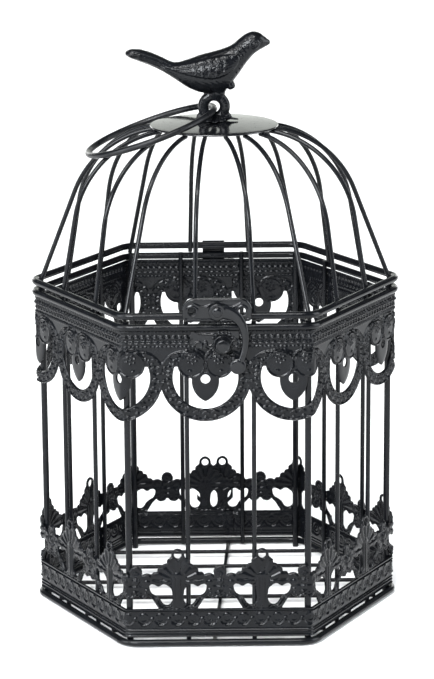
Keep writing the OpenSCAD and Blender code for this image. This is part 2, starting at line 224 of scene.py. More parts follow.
def face_polygons(metal, place, flatness):
    """Corner lists, as grid places, that cover every whole cell: flat areas take one face for four cells."""
    whole = metal[:-1, :-1] & metal[1:, :-1] & metal[1:, 1:] & metal[:-1, 1:]
    rows, columns = whole.shape[0] // 2, whole.shape[1] // 2
    p = place[:2 * rows + 1, :2 * columns + 1]
    corners = [p[0:-2:2, 0:-2:2], p[2::2, 0:-2:2], p[2::2, 2::2], p[0:-2:2, 2::2]]
    middles = [p[1::2, 0:-2:2], p[2::2, 1::2], p[1::2, 2::2], p[0:-2:2, 1::2]]
    off = [np.linalg.norm(m - (corners[i] + corners[(i + 1) % 4]) / 2, axis=-1)
           for i, m in enumerate(middles)]
    off.append(np.linalg.norm(p[1::2, 1::2] - sum(corners) / 4, axis=-1))
    w = whole[:2 * rows, :2 * columns]
    merge = w[0::2, 0::2] & w[1::2, 0::2] & w[1::2, 1::2] & w[0::2, 1::2]
    merge &= np.maximum.reduce(off) < flatness

    fine = whole.copy()
    fine[:2 * rows, :2 * columns] &= ~np.repeat(np.repeat(merge, 2, 0), 2, 1)
    polygons = [((i, j), (i + 1, j), (i + 1, j + 1), (i, j + 1)) for i, j in zip(*np.nonzero(fine))]
    around = np.pad(merge, 1)
    for i, j in zip(*np.nonzero(merge)):
        x, y = 2 * i, 2 * j
        ring = [(x, y)]
        if not around[i + 1, j]:
            ring.append((x + 1, y))
        ring.append((x + 2, y))
        if not around[i + 2, j + 1]:
            ring.append((x + 2, y + 1))
        ring.append((x + 2, y + 2))
        if not around[i + 1, j + 2]:
            ring.append((x + 1, y + 2))
        ring.append((x, y + 2))
        if not around[i, j + 1]:
            ring.append((x, y + 1))
        polygons.append(tuple(ring))
    return polygons


def add_sheet(name, low, high, step, metal, front, back, place, flatness=0.02):
    """A closed piece of pressed sheet. metal(u, v) is above 0 where there is metal, front(u, v)
    and back(u, v) are its two faces' heights, and place(u, v, height) puts a point in space."""
    us = np.arange(low[0] - step, high[0] + 1.5 * step, step)
    vs = np.arange(low[1] - step, high[1] + 1.5 * step, step)
    u, v = np.meshgrid(us, vs, indexing="ij")
    window = lower(u - low[0], high[0] - u, v - low[1], high[1] - v)
    depth = lower(metal(u, v), window)
    least = 0.15 * step
    depth = np.where(np.abs(depth) < least, np.where(depth > 0, least, -least), depth)
    inside = depth > 0

    cut_u = inside[:-1] != inside[1:]
    cut_v = inside[:, :-1] != inside[:, 1:]
    at_u = (depth[:-1] / (depth[:-1] - depth[1:] + ~cut_u))[cut_u]
    at_v = (depth[:, :-1] / (depth[:, :-1] - depth[:, 1:] + ~cut_v))[cut_v]
    number = np.full(u.shape, -1)
    number[inside] = np.arange(inside.sum())
    number_u = np.full(cut_u.shape, -1)
    number_u[cut_u] = inside.sum() + np.arange(cut_u.sum())
    number_v = np.full(cut_v.shape, -1)
    number_v[cut_v] = inside.sum() + cut_u.sum() + np.arange(cut_v.sum())
    all_u = np.concatenate([u[inside], u[:-1][cut_u] + at_u * step, u[:, :-1][cut_v]])
    all_v = np.concatenate([v[inside], v[:-1][cut_u], v[:, :-1][cut_v] + at_v * step])

    rims, edges = [], []
    count = inside[:-1, :-1].astype(int) + inside[1:, :-1] + inside[1:, 1:] + inside[:-1, 1:]
    for i, j in zip(*np.nonzero((count > 0) & (count < 4))):
        walk = [number[i, j], number_u[i, j], number[i + 1, j], number_v[i + 1, j],
                number[i + 1, j + 1], number_u[i, j + 1], number[i, j + 1], number_v[i, j]]
        kind = [0, 1] * 4
        ring = [(n, k) for n, k in zip(walk, kind) if n >= 0]
        rims.append([n for n, _ in ring])
        for (n, k), (n2, k2) in zip(ring, ring[1:] + ring[:1]):
            if k and k2:
                edges.append((n, n2))

    points, faces, base = [], [], 0
    for height, side in ((front, 1), (back, -1)):
        face_grid = np.stack(place(u, v, height(u, v)), -1)
        polygons = [[number[c] for c in ring] for ring in face_polygons(inside, face_grid, flatness)]
        polygons += rims
        faces += [[base + n for n in ring[::side]] for ring in polygons]
        points.append(np.stack(place(all_u, all_v, height(all_u, all_v)), -1))
        base += len(all_u)
    faces += [[b, a, a + len(all_u), b + len(all_u)] for a, b in edges]

    points = np.concatenate(points)
    used = np.zeros(len(points), bool)
    used[[n for ring in faces for n in ring]] = True
    renumber = np.cumsum(used) - 1
    return add_mesh(name, points[used], [renumber[ring].tolist() for ring in faces])


# ---- lace bands --------------------------------------------------------------

SHEET = 0.55                      # thickness
BAND_BEND = 2.5                   # inner radius of the bends at the corners
PRESSED_THROUGH = 0.6             # how much of the relief shows on the inner face
LAP = 17.0                        # length of the lapped seam at the back
LAP_GAP = 0.08                    # between the seam's two layers
BAND_GRID = 0.42                  # spacing of the mesh's points


def band_side(node):
    """Inner distance from the cage's middle, and length of a side along the sheet's middle."""
    apothem = box_mm(node)[1].y - SHEET
    return apothem, 2 * (apothem + SHEET / 2) * TAN30


def band_place(node):
    """Wraps flat places (u, z, out) round the hexagon: u = 0 is the middle of the front."""
    apothem, side = band_side(node)
    flat_half = (apothem - BAND_BEND) * TAN30

    def place(u, z, out):
        k = np.clip(np.round(u / side), -3, 3)
        along = u - k * side
        seam = k == 3
        past = np.clip((np.abs(along) - flat_half) / (side / 2 - flat_half), 0, 1)
        past = np.where((np.abs(k) == 3) & (along * k > 0), 0, past)
        turn = np.radians(30) * past * np.sign(along)
        end = u - (3 * side - LAP / 2)
        out = out + (SHEET + LAP_GAP) * soft_step(end, -2, 0) * seam
        x = np.where(past > 0, flat_half * np.sign(along), along) + (BAND_BEND + out) * np.sin(turn)
        y = apothem - BAND_BEND + (BAND_BEND + out) * np.cos(turn)
        around = np.radians(60) * k
        return (x * np.cos(around) + y * np.sin(around),
                x * np.sin(around) - y * np.cos(around), z)

    return place, side


def add_band(name, node, bottom, metal, relief):
    """A pressed band round the cage; its inner face shows part of the relief."""
    place, side = band_place(node)
    half = 3 * side + LAP / 2
    return add_sheet(
        name, (-half, bottom), (half, box_mm(node)[1].z), BAND_GRID, metal,
        lambda u, z: SHEET + relief(u, z), lambda u, z: PRESSED_THROUGH * relief(u, z), place)


def dots(u, v, pitch, radius):
    """A row of round dots along v = 0."""
    return bump(np.hypot(fold(u, pitch), v), radius)


def scallop_motif(along, across):
    """One dot and one open curl, repeated along the scallop's ribbon."""
    dot = 0.75 * bump(np.hypot(along, across - 1.55), 0.8)
    curl = 0.65 * ridge(np.hypot(along, across - 3.0) - 1.15, 0.55) * soft_step(across, 2.3, 2.9)
    return higher(dot, curl)


def add_upper_band():
    """Bead rows and a wavy line over a row of scallops with hearts."""
    node = "upper_lace_band"
    pitch, first = 36.7, -5.0
    centre = box_mm(node)[1].z - 20.1
    outer_r, inner_r = 19, 13.6   # the scallop's ribbon
    shoulder = 4.7                # how far up the ribbon's inner edge goes
    wave = 2.57                   # length of one wave, and of one bead above it
    head = (9.3, 1.9)             # middle of the ribbon's curled head, from the scallop's middle
    head_r = 9.55
    lobe, lobe_r = (5.8, 5.45), 5.8
    berry = (5.6, 7.4)            # middle of the lobe's ring of berries
    heart_hole = (0, -0.65)

    def heart_depth(s, t):
        """How deep each place lies inside the arc of one side of the heart."""
        return disc(s, t, (-3.75, -1.6), 9.5)

    def metal(u, z):
        s, t = np.abs(fold(u, pitch, first)), z - centre
        outside = higher(disc(s, t, (0, 0), outer_r), t)
        opening = lower(disc(s, t, (0, 0), inner_r), shoulder - t, -disc(s, t, lobe, lobe_r),
                        -heart_depth(s, t))
        return lower(outside, -opening, -disc(s, t, heart_hole, 2.0))

    def relief(u, z):
        s, t = np.abs(fold(u, pitch, first)), z - centre
        # rows along the top, from the rim down: line, fine dots, line, beads, line, wave, dots
        rows = [0.4 * ridge(t - 19.8, 0.35), 0.5 * dots(u, t - 18.95, 1.6, 0.62),
                0.4 * ridge(t - 18.1, 0.3),
                0.9 * bump(np.hypot(np.clip(np.abs(fold(u, wave)) - 0.35, 0, None), t - 16.9), 0.8),
                0.4 * ridge(t - 15.6, 0.3),
                0.5 * ridge(t - 14.6 - 0.25 * np.sin(2 * np.pi * u / wave), 0.45),
                0.6 * dots(u, t - 12.95, 1.66, 0.62)]
        # ribbon: a line along each edge, and dots and curls between them
        from_head = np.hypot(s - head[0], t - head[1])
        upper_half = t > head[1]
        inward = np.where(upper_half, head_r - from_head, outer_r - np.hypot(s, t))
        arm = np.where(upper_half, s > 4.2, 1) * (inward > 0)
        low_angle = np.arctan2(s, -t)
        high_angle = np.arctan2(t - head[1], s - head[0])
        along = np.where(upper_half, 7.2 * fold(high_angle, np.radians(30), np.radians(15)),
                         16.4 * fold(low_angle, np.radians(13.85)))
        ribbon = [0.65 * ridge(inward - 0.45, 0.45) * arm,
                  0.5 * ridge(inward - 4.9, 0.4) * (t < shoulder),
                  scallop_motif(along, inward) * arm * (inward < 5) * ((s > 8.5) | ~upper_half)]
        # lobes with berries, heart with its rimmed hole, loose beads
        in_lobe = disc(s, t, lobe, lobe_r)
        over_top = soft_step(t, lobe[1] - 1, lobe[1] + 2)
        lobes = [0.5 * bump(np.clip(lobe_r - in_lobe, 0, None), lobe_r) * (in_lobe > 0),
                 0.8 * ridge(in_lobe - 0.5, 0.5), 0.7 * ridge(in_lobe + 0.9, 0.4) * over_top * (s < 9),
                 0.6 * ridge(in_lobe - 1.7, 0.4) * over_top,
                 0.8 * bump(np.hypot(0.55 * (s - 6.4), t - 2.6 - 0.15 * (s - 6.4)), 0.8)]
        berries = [1.1 * bump(np.hypot(s - berry[0], t - berry[1]), 0.85)]
        for a in np.radians(np.arange(20, 380, 60)):
            across, up = s - berry[0] - 1.75 * np.cos(a), t - berry[1] - 1.75 * np.sin(a)
            berries.append(bump(np.hypot(across, up), 0.8))
        in_heart = np.clip(heart_depth(s, t), 0, 3) * soft_step(2.2 - t, 0, 2.5)
        heart = [0.6 * np.sqrt(np.clip(1 - (1 - in_heart / 3) ** 2, 0, 1)),
                 0.5 * ridge(np.hypot(s, t - heart_hole[1]) - 2.45, 0.45)]
        beads = [0.6 * bump(np.hypot(s - 3.4, t - 12.0), 0.8), 0.6 * bump(np.hypot(s - 1.2, t - 10.3), 0.7),
                 0.5 * bump(np.hypot(s, t - 8.0), 0.7)]
        spandrel = [0.5 * bump(np.hypot(pitch / 2 - s, t - 5.5), 1.0)]
        return higher(0 * t, *rows, *ribbon, *lobes, *berries, *heart, *beads, *spandrel)

    return add_band("upper_lace", node, centre - outer_r, metal, relief)


def add_lower_band():
    """A wave frieze with a row of palmettes, scrolls and florets standing on it."""
    node = "lower_lace_band"
    bottom = box_mm(node)[0].z
    pitch, first = 35.7, -17.3
    frieze = bottom + 12.8
    floret = (pitch / 2, 11.6)
    eyelet = (0, 24.0)
    fan_root = 12.5
    # half of the palmette, the rounds on its edge, and the openings in it and under the floret
    fan = [(-1, -1), (-1, 23.0), (2.4, 22.6), (4.4, 20.6), (6.6, 18.4), (9.2, 16.2), (12.6, 14.2),
           (14.6, 13.2), (18.5, 13.2), (18.5, -1)]
    petals = [(3.2, 21.0, 1.5), (5.2, 18.8, 1.4), (7.2, 17.1, 1.5), (9.7, 15.0, 1.4), (12.3, 14.2, 1.5)]
    window = smooth_outline([(12.0, 10.9), (10.1, 10.9), (8.3, 10.0), (5.9, 11.1), (3.1, 9.3), (2.5, 7.1),
                             (2.4, 4.4), (3.2, 2.4), (4.9, 1.7), (6.5, 2.5), (7.6, 4.3), (9.4, 5.9),
                             (11.0, 6.9), (11.9, 8.6)])
    gap = [(8.2, 0), (10.7, 4.2), (12.8, 6.4), (19, 6.4), (19, 0)]

    def petal_places(radius):
        turns = np.radians(range(90, 450, 72))
        return [(floret[0] + radius * math.cos(a), floret[1] + radius * math.sin(a)) for a in turns]

    def shape(u, z):
        return np.abs(fold(u, pitch, first)), z - frieze

    def metal(u, z):
        s, t = shape(u, z)
        crown = higher(depth_in(s, t, fan), *[disc(s, t, (x, y), r) for x, y, r in petals])
        crown = lower(crown, -depth_in(s, t, window), -depth_in(s, t, gap))
        flower = higher(disc(s, t, floret, 4.0), *[disc(s, t, at, 2.75) for at in petal_places(4.9)])
        tip = higher(disc(s, t, eyelet, 2.75), lower(27 - t - 1.3 * s, t - 22))
        hole = disc(s, t, eyelet, 1.6)
        return higher(-t, lower(crown, -hole), flower, lower(tip, -hole))

    def relief(u, z):
        s, t = shape(u, z)
        edge = metal(u, z)
        above = soft_step(t, 0.0, 0.8)
        # palmette: flutes that fan out from the round head of a fluted trunk
        spread = np.arctan2(s, t - fan_root)
        reach = np.hypot(s, t - fan_root)
        in_fan = soft_step(reach, 2.4, 4.5) * soft_step(t, 9.5, 11) * soft_step(15.5 - s, 0, 2)
        flutes = np.sqrt(0.5 + 0.5 * np.cos(spread * 15)) * in_fan * soft_step(edge, 0, 1.2)
        from_trunk = np.hypot(s, np.clip(t - 14.2, 0, None))
        trunk = 0.9 * bump(from_trunk, 2.6) - 0.45 * ridge(s - 1.0, 0.5) * soft_step(15 - t, 0, 1)
        knot = 0.9 * bump(np.hypot(s - 13.4, t - 12.2), 1.0)
        # two rims under each window
        from_bowl = np.hypot(s - 4.9, t - 4.4)
        scroll = higher(0.7 * ridge(from_bowl - 3.2, 0.45), 0.7 * ridge(from_bowl - 4.4, 0.45)) * (t < 4.8)
        # floret: a rimmed petal on top, round side petals, a boss, and seeds along a chevron below
        out = np.hypot(s - floret[0], t - floret[1])
        side, up = s - floret[0], t - floret[1]
        petals_up = higher(*[bump(np.hypot(s - x, t - y), 2.7) for x, y in petal_places(4.6)])
        petal_rim = higher(*[ridge(np.hypot(s - x, t - y) - 1.9, 0.45) for x, y in petal_places(4.9)])
        seeds = higher(*[0.9 * bump(np.hypot(side + x, up - y), 0.62)
                         for x, y in ((0.7, -3.9), (1.9, -4.9), (3.1, -5.9), (4.1, -4.6), (4.4, -3.1))])
        chevron = 0.7 * ridge(up + 5.0 - 0.7 * side, 0.4) * (side > -3.4)
        heart = higher(1.2 * bump(np.hypot(side, up - 0.7), 1.6), bump(np.hypot(side, up + 1.9), 1.3))
        dimple = 0.8 * ridge(np.hypot(side, up - 3.9) - 0.9, 0.4)
        floret_up = higher(0.4 * petals_up + 0.45 * petal_rim * (up > -2), seeds, chevron, heart, dimple)
        # frieze: border lines, rings over a running scalloped line
        f = z - bottom
        lines = higher(*[0.5 * ridge(f - at, 0.4) for at in (0.5, 1.9, 3.2, 11.3, 12.4)])
        ring_at = np.hypot(fold(u, 7.1, 3.55), f - 8.6)
        rings = higher(0.4 * ridge(ring_at - 1.7, 0.6), 0.25 * bump(ring_at, 0.8))
        scallops = 0.6 * ridge(ring_at - 3.2, 0.5) * soft_step(9.4 - f, 0, 1)
        band = higher(lines, scallops, rings) * (t <= 0.6)
        rim = 0.45 * ridge(edge - 0.4, 0.4) * above
        lace = higher(flutes * 0.65, trunk, knot, scroll, rim, floret_up * (out < 8.2)) * above
        return higher(0 * t, lace, band)

    return add_band("lower_lace", node, bottom, metal, relief)


# ---- flat fittings -----------------------------------------------------------


def front_place(depth):
    """Puts a flat shape upright, its back at depth in front of the middle, its front towards -Y."""
    return lambda x, z, out: (x, -(depth + out), z)


def add_latch_plate():
    """A pressed plate with two rimmed screw holes, a bow-shaped fold and a plain middle round the rivet."""
    low, high = box_mm("latch_plate")
    depth = -high.y
    half = high.x
    middle = low.z + 4.5
    hole_x, hole_r = 10.4, 1.4
    big, small = 5, 2             # the corners' radii, at the top and at the bottom
    sheet = 0.8

    def metal(x, z):
        s, t = np.abs(x), z - middle
        top, bottom = high.z - middle, low.z - middle
        square = lower(half - s, top - t, t - bottom)
        by_top = (half - big, top - big)
        by_bottom = (half - small, bottom + small)
        at_top = (s > by_top[0]) & (t > by_top[1])
        at_bottom = (s > by_bottom[0]) & (t < by_bottom[1])
        upper_corner = np.where(at_top, disc(s, t, by_top, big), square)
        lower_corner = np.where(at_bottom, disc(s, t, by_bottom, small), square)
        return lower(upper_corner, lower_corner, -disc(s, t, (hole_x, 0), hole_r))

    def relief(x, z):
        s, t = np.abs(x), z - middle
        edge = metal(x, z)
        border = 0.7 * ridge(np.clip(edge, 0, 9) - 0.8, 0.7) * (np.hypot(s - hole_x, t) > 2.6)
        bow = 1.2 * ridge(t - 2.7 - 0.9 * np.cos(s * 0.55), 0.55) * soft_step(11 - s, 0, 3)
        rim = 0.9 * ridge(np.hypot(s - hole_x, t) - 2.1, 0.65)
        return higher(0 * t, border, bow, rim) * soft_step(np.hypot(s, t), 3.8, 4.4)

    return add_sheet("latch_plate_pressed", (low.x, low.z), (high.x, high.z), 0.2, metal,
                     lambda x, z: sheet + 0.3 * relief(x, z) - 0.4 * soft_step(0.5 - metal(x, z), 0, 0.5),
                     lambda x, z: 0 * x, front_place(depth), 0.01)


HOOK_PATH = ((0, 0), (13, 1), (14, -15), (8.5, -23.4))
HOOK_PADDLE = 3.4                 # radii of the paddle, the eye and the eye's bore
HOOK_EYE = 3.6
HOOK_BORE = 1.51


def add_latch_hook():
    """The swinging hook: a tapered arm along a Bezier curve, with rounded edges and a raised eye."""
    low, high = box_mm("latch_hook")
    rivet_low, rivet_high = box_mm("latch_rivet")
    pivot_z = (rivet_low.z + rivet_high.z) / 2
    depth, thick = -high.y + 0.02, 1.3
    ts = np.linspace(0, 1, 60)
    p = np.array(HOOK_PATH, float)
    path = ((1 - ts) ** 3)[:, None] * p[0] + (3 * ts * (1 - ts) ** 2)[:, None] * p[1] \
        + (3 * ts**2 * (1 - ts))[:, None] * p[2] + (ts**3)[:, None] * p[3]
    half = 3.3 - 4.6 * ts + 2.6 * ts**2

    def metal(x, z):
        arm = higher(*[h - np.hypot(x - a, z - pivot_z - b) for (a, b), h in zip(path, half)])
        paddle = disc(x, z, (path[-1][0], pivot_z + path[-1][1]), HOOK_PADDLE - 0.02)
        eye, bore = disc(x, z, (0, pivot_z), HOOK_EYE), disc(x, z, (0, pivot_z), HOOK_BORE)
        return lower(higher(arm, paddle, eye), -bore)

    def rounding(x, z):
        edge = np.clip(metal(x, z), 0, 0.55)
        return 0.55 - np.sqrt(0.55**2 - (0.55 - edge) ** 2)

    def front(x, z):
        r = np.hypot(x, z - pivot_z)
        eye = 0.3 * soft_step(HOOK_EYE - r, 0, 0.5)
        crown = (1 - np.clip(metal(x, z), 0, 1.5) / 1.5) ** 2 * soft_step(r, 3.4, 3.8)
        return thick - 0.3 * rounding(x, z) - 0.55 * crown + eye

    return add_sheet("hook_cast", (low.x, low.z), (high.x, high.z), 0.2, metal,
                     front, lambda x, z: 0.8 * rounding(x, z), front_place(depth), 0.01)


def add_catch_plate():
    """A small leaf spray under the body ring: stems, a leaf to the left and a curl to the right."""
    low, high = box_mm("catch_plate")
    stud_low, stud_high = box_mm("catch_stud")
    at = ((stud_low.x + stud_high.x) / 2, (stud_low.z + stud_high.z) / 2)
    root, reach = 3.6, 7.2        # where the leaf's veins begin and end, left of the stud

    def metal(x, z):
        s, t = x - at[0], z - at[1]
        bar = lower(x + 11, 9 - x, t - 2.7, 5.5 - t)
        leaf = lower(disc(s, t, (-6.5, -5.2), 9.2), disc(s, t, (-6.5, 7.2), 9.2), s + 13.5)
        curl = disc(s, t, (5.1, 0.4), 2.4)
        neck = lower(3.2 - np.abs(s), t, 4 - t)
        return higher(bar, leaf, curl, neck, disc(s, t, (0, 0), 4.3), disc(s, t, (-11.4, 1.2), 1.6))

    def relief(x, z):
        s, t = x - at[0], z - at[1]
        ring = higher(1.2 * ridge(np.hypot(s, t) - 3.6, 0.6), 0.9 * soft_step(3.8 - np.hypot(s, t), 0, 0.6))
        bead = 0.8 * bump(np.hypot(s + 7.2, t - 0.6), 0.9)
        along = np.clip(-root - s, 0, reach - root)
        sag = 0.3 * along * (reach - root - along)
        veins = higher(*[0.6 * ridge(t - 0.3 + drop + sag * drop, 0.4) for drop in (0.4, 1.3)])
        veins = veins * (s < -root) * (s > -reach)
        knob = 0.7 * ridge(np.hypot(s + 10.2, t + 0.6) - 1.6, 0.5)
        curl = 0.7 * ridge(np.hypot(s - 5.1, t - 0.4) - 1.5, 0.5)
        pips = 0.7 * dots(s, t - 4.6, 1.6, 0.62) * (np.abs(s) < 3)
        stem = 0.5 * ridge(t - 4.3 - 0.03 * (s + 6) ** 2, 0.4) * (s < -3.4)
        rays = higher(*[0.7 * bump(np.hypot(s - 4.9 * np.cos(a), t - 4.9 * np.sin(a)), 0.75)
                        for a in np.radians([35, 55, 125, 145])])
        return higher(0 * t, ring, bead, veins, knob, curl, pips, stem, rays)

    return add_sheet("catch_leaf", (low.x, low.z), (high.x, high.z), 0.22, metal,
                     lambda x, z: 0.6 + 0.9 * relief(x, z), lambda x, z: 0 * x,
                     front_place(-high.y), 0.01)


# ---- turned and cast pieces ---------------------------------------------------


def add_turned(name, profile, segments, sharp=40):
    """A piece turned about Z from a closed (radius, height) outline; radius 0 closes at the axis."""
    points, faces, rings = [], [], []
    for radius, height in profile:
        if radius == 0:
            rings.append([len(points)] * segments)
            points.append((0, 0, height))
            continue
        rings.append(list(range(len(points), len(points) + segments)))
        for i in range(segments):
            a = 2 * math.pi * i / segments
            points.append((radius * math.cos(a), radius * math.sin(a), height))
    closed = profile[0][0] > 0
    pairs = list(zip(rings, rings[1:])) + ([(rings[-1], rings[0])] if closed else [])
    for one, two in pairs:
        for i in range(segments):
            j = (i + 1) % segments
            ring = [one[i], one[j], two[j], two[i]]
            faces.append(list(dict.fromkeys(ring)))
    return add_mesh(name, points, [f for f in faces if len(f) > 2], sharp)


def stand_forward(piece, x, z):
    """Turns a piece made about Z so that its axis points to -Y, at (x, z)."""
    for vertex in piece.data.vertices:
        a, b, c = vertex.co
        vertex.co = (a + x * MM, -c, b + z * MM)
    piece.data.update()
    return piece


def add_rivet():
    """A peened rivet: shank and a low domed head with a flattened middle."""
    low, high = box_mm("latch_rivet")
    foot, tip = -high.y, -low.y
    profile = [(0, foot), (1.45, foot), (1.45, tip - 0.95)]
    profile += [(2.2 * math.cos(a), tip - 0.85 + 0.85 * math.sin(a))
                for a in np.radians([0, 15, 30, 45, 60, 72])]
    profile += [(0.45, tip - 0.08), (0, tip - 0.1)]
    piece = add_turned("rivet_peened", profile, 36)
    return stand_forward(piece, (low.x + high.x) / 2, (low.z + high.z) / 2)


def add_stud():
    """The catch's stud: a neck and a broad button head with a turned edge."""
    low, high = box_mm("catch_stud")
    foot, tip = -high.y, -low.y
    profile = [(0, foot), (2.5, foot), (2.5, tip - 0.9), (2.75, tip - 0.9), (2.9, tip - 0.75),
               (2.9, tip - 0.4), (2.75, tip - 0.2), (2.45, tip - 0.12), (2.3, tip - 0.2),
               (1.8, tip - 0.08), (1.0, tip), (0, tip)]
    piece = add_turned("stud_button", profile, 40)
    return stand_forward(piece, (low.x + high.x) / 2, (low.z + high.z) / 2)


def add_cap():
    """The crowned cap, its rim rolled over."""
    low, high = box_mm("dome_cap")
    radius, rim, crown = high.x, low.z, high.z - low.z - 0.8
    hole = 2.1

    def under(r):
        return rim + crown * (1 - (r / radius) ** 2)

    rs = np.linspace(radius - 0.5, hole, 14)
    top = [(r, under(r) + 0.8) for r in rs]
    edge = [(radius - 0.4 + 0.4 * math.cos(a), rim + 0.42 + 0.4 * math.sin(a))
            for a in np.radians([-75, -40, 0, 40, 75])]
    bottom = [(r, under(r)) for r in rs[::-1]]
    return add_turned("cap_pressed", bottom + edge + top, 96, 60)


def through(xs, ys, x):
    """A smooth curve through points, at the places x."""
    xs, ys = np.array(xs, float), np.array(ys, float)
    slope = np.gradient(ys, xs)
    i = np.clip(np.searchsorted(xs, x) - 1, 0, len(xs) - 2)
    h = xs[i + 1] - xs[i]
    t = np.clip((x - xs[i]) / h, 0, 1)
    return ((2 * t**3 - 3 * t**2 + 1) * ys[i] + (t**3 - 2 * t**2 + t) * h * slope[i]
            + (3 * t**2 - 2 * t**3) * ys[i + 1] + (t**3 - t**2) * h * slope[i + 1])


SKIN = 0.4                        # what the merged skin loses as it is softened
EYE_LIFT = 6.1                    # height of the eye's middle above the cap
TURNS = np.linspace(0, 2 * math.pi, 40, endpoint=False)    # angles of the points round a section

# The bird's outline from its tail to its beak: place along X, its back, its belly and its half width
BIRD = ((-37.8, 244.9, 244.3, 2.4), (-36.3, 245.7, 243.3, 3.3), (-33.0, 246.0, 241.9, 3.5),
        (-28.0, 244.9, 240.0, 3.3), (-22.7, 242.7, 237.5, 3.2), (-16.6, 240.2, 233.7, 4.0),
        (-11.5, 241.3, 230.3, 5.1), (-6.0, 243.2, 228.0, 6.1), (0.0, 244.8, 227.6, 6.4),
        (4.5, 246.1, 228.6, 6.1), (8.0, 247.7, 232.3, 5.2), (11.0, 250.2, 236.2, 4.5),
        (14.0, 252.3, 240.5, 4.2), (17.2, 253.2, 244.2, 4.1), (20.2, 252.3, 246.3, 3.1),
        (22.4, 250.6, 247.5, 1.7), (24.2, 249.2, 248.6, 0.5))


def loft(sections):
    """Points and faces of a closed form through rings of points, closed at both ends."""
    points, faces, segments = [], [], len(TURNS)
    for ring in sections:
        points += ring
    for k in range(len(sections) - 1):
        for i in range(segments):
            j = (i + 1) % segments
            faces.append([k * segments + i, k * segments + j, (k + 1) * segments + j, (k + 1) * segments + i])
    faces.append(list(range(segments))[::-1])
    faces.append(list(range((len(sections) - 1) * segments, len(sections) * segments)))
    return points, faces


def bird_body():
    """The bird itself: rounded sections from its tail to its beak."""
    stations = np.linspace(BIRD[0][0], BIRD[-1][0], 90)
    columns = list(zip(*BIRD))
    back, belly, half = [through(columns[0], column, stations) for column in columns[1:]]
    sections = []
    for x, top, bottom, wide in zip(stations, back + SKIN, belly - SKIN, half + SKIN / 2):
        ring = []
        for a in TURNS:
            c, s = math.cos(a), math.sin(a)
            ring.append((x, max(wide, 0.3) * math.copysign(abs(c) ** 0.9, c),
                         (top + bottom) / 2 + max(top - bottom, 0.5) / 2 * math.copysign(abs(s) ** 0.95, s)))
        sections.append(ring)
    return loft(sections)


def round_bar(stations, flat=1.0):
    """A form along a path: stations are (x, y, z, radius), rings lie level, flat squeezes them along Y."""
    sections = []
    for x, y, z, radius in stations:
        sections.append([(x + radius * math.cos(a), y + flat * radius * math.sin(a), z)
                         for a in TURNS])
    return loft(sections)


def petal(turn, reach, wide, root_z, tip_z):
    """A pointed leaf of the foot, arching from the middle down to the cap."""
    sections = []
    for t in np.linspace(0, 1, 14):
        r = 1.5 + (reach - 1.5) * t
        half = max(wide * math.sin(math.pi * (0.22 + 0.78 * t)) ** 0.8, 0.12)
        thick = 0.75 - 0.4 * t
        z = root_z + (tip_z - root_z) * t**0.8
        ring = []
        for a in TURNS:
            y, up = half * math.cos(a), thick * math.sin(a) + 0.5 * thick * abs(math.cos(a)) * (1 - t)
            across, along = (-math.sin(turn), math.cos(turn)), (math.cos(turn), math.sin(turn))
            ring.append((r * along[0] + y * across[0], r * along[1] + y * across[1], z + up))
        sections.append(ring)
    return loft(sections)


def eye_loop(centre_z):
    """The ring that the handle hangs in, squarish in section."""
    points, faces, around, across = [], [], 48, 20
    middle_r, half_wide, half_thick = 4.7, 2.25, 2.15
    for i in range(around):
        a = 2 * math.pi * i / around
        for j in range(across):
            b = 2 * math.pi * j / across
            r = middle_r + half_wide * math.copysign(abs(math.cos(b)) ** 0.7, math.cos(b))
            points.append((r * math.cos(a), half_thick * math.sin(b), centre_z + r * math.sin(a)))
    for i in range(around):
        for j in range(across):
            k, m = (i + 1) % around, (j + 1) % across
            faces.append([i * across + j, i * across + m, k * across + m, k * across + j])
    return points, faces


def feather_relief(x, z):
    """Height of the bird's pressed feathers, seen from the side."""
    wing = smooth_outline([(9.8, 244.6), (11.0, 241.0), (7.5, 236.8), (0.5, 234.0), (-8.0, 234.8),
                           (-15.5, 236.6), (-21.5, 239.0), (-14.5, 240.2), (-7.3, 241.9), (1.4, 243.9)])
    inside = depth_in(x, z, wing)
    raised = 0.55 * soft_step(inside, 0, 0.8)
    along, across = (9 - x) * 0.985 + (z - 241) * 0.17, (z - 239.6) * 0.985 + (9 - x) * 0.1
    coverts = 0 * x
    for row in range(5):
        start = 2.5 + 3.0 * row
        offset = 1.3 * (row % 2)
        arc = np.hypot(along - start, fold(across, 2.6, offset)) - 1.5
        coverts = higher(coverts, 0.35 * ridge(arc, 0.4) * (along > start))
    quills = 0.35 * ridge(fold(across + 0.02 * along, 1.5), 0.45) * soft_step(along, 17, 19)
    wing_up = raised + higher(coverts * (along < 19), quills) * soft_step(inside, 0.3, 1.0)
    tail_mid = through([-38, -33, -28, -22, -16], [244.6, 244.0, 242.5, 240.2, 237.2], x)
    tail = 0.5 * ridge(fold(z - tail_mid, 1.7), 0.5) * soft_step(-18 - x, 0, 3)
    strokes = 0.3 * ridge(fold(x * 0.8 + z * 0.6, 1.9), 0.45) * ridge(fold(z - x, 4.2), 1.7)
    on_throat = soft_step(x, 8.5, 10.5) * soft_step(16 - x, 0, 2) * soft_step(248.5 - z, 0, 2)
    throat = strokes * on_throat * (inside < 0)
    eye_x, eye_z = 17.6, 248.6
    from_eye = np.hypot(x - eye_x, z - eye_z)
    eye = higher(0.4 * ridge(from_eye - 1.7, 0.45), 0.5 * bump(from_eye, 0.85))
    beak = -0.3 * ridge(z - eye_z + 0.1 * (x - 21), 0.35) * (x > 21.6)
    return wing_up + tail + throat + eye + beak


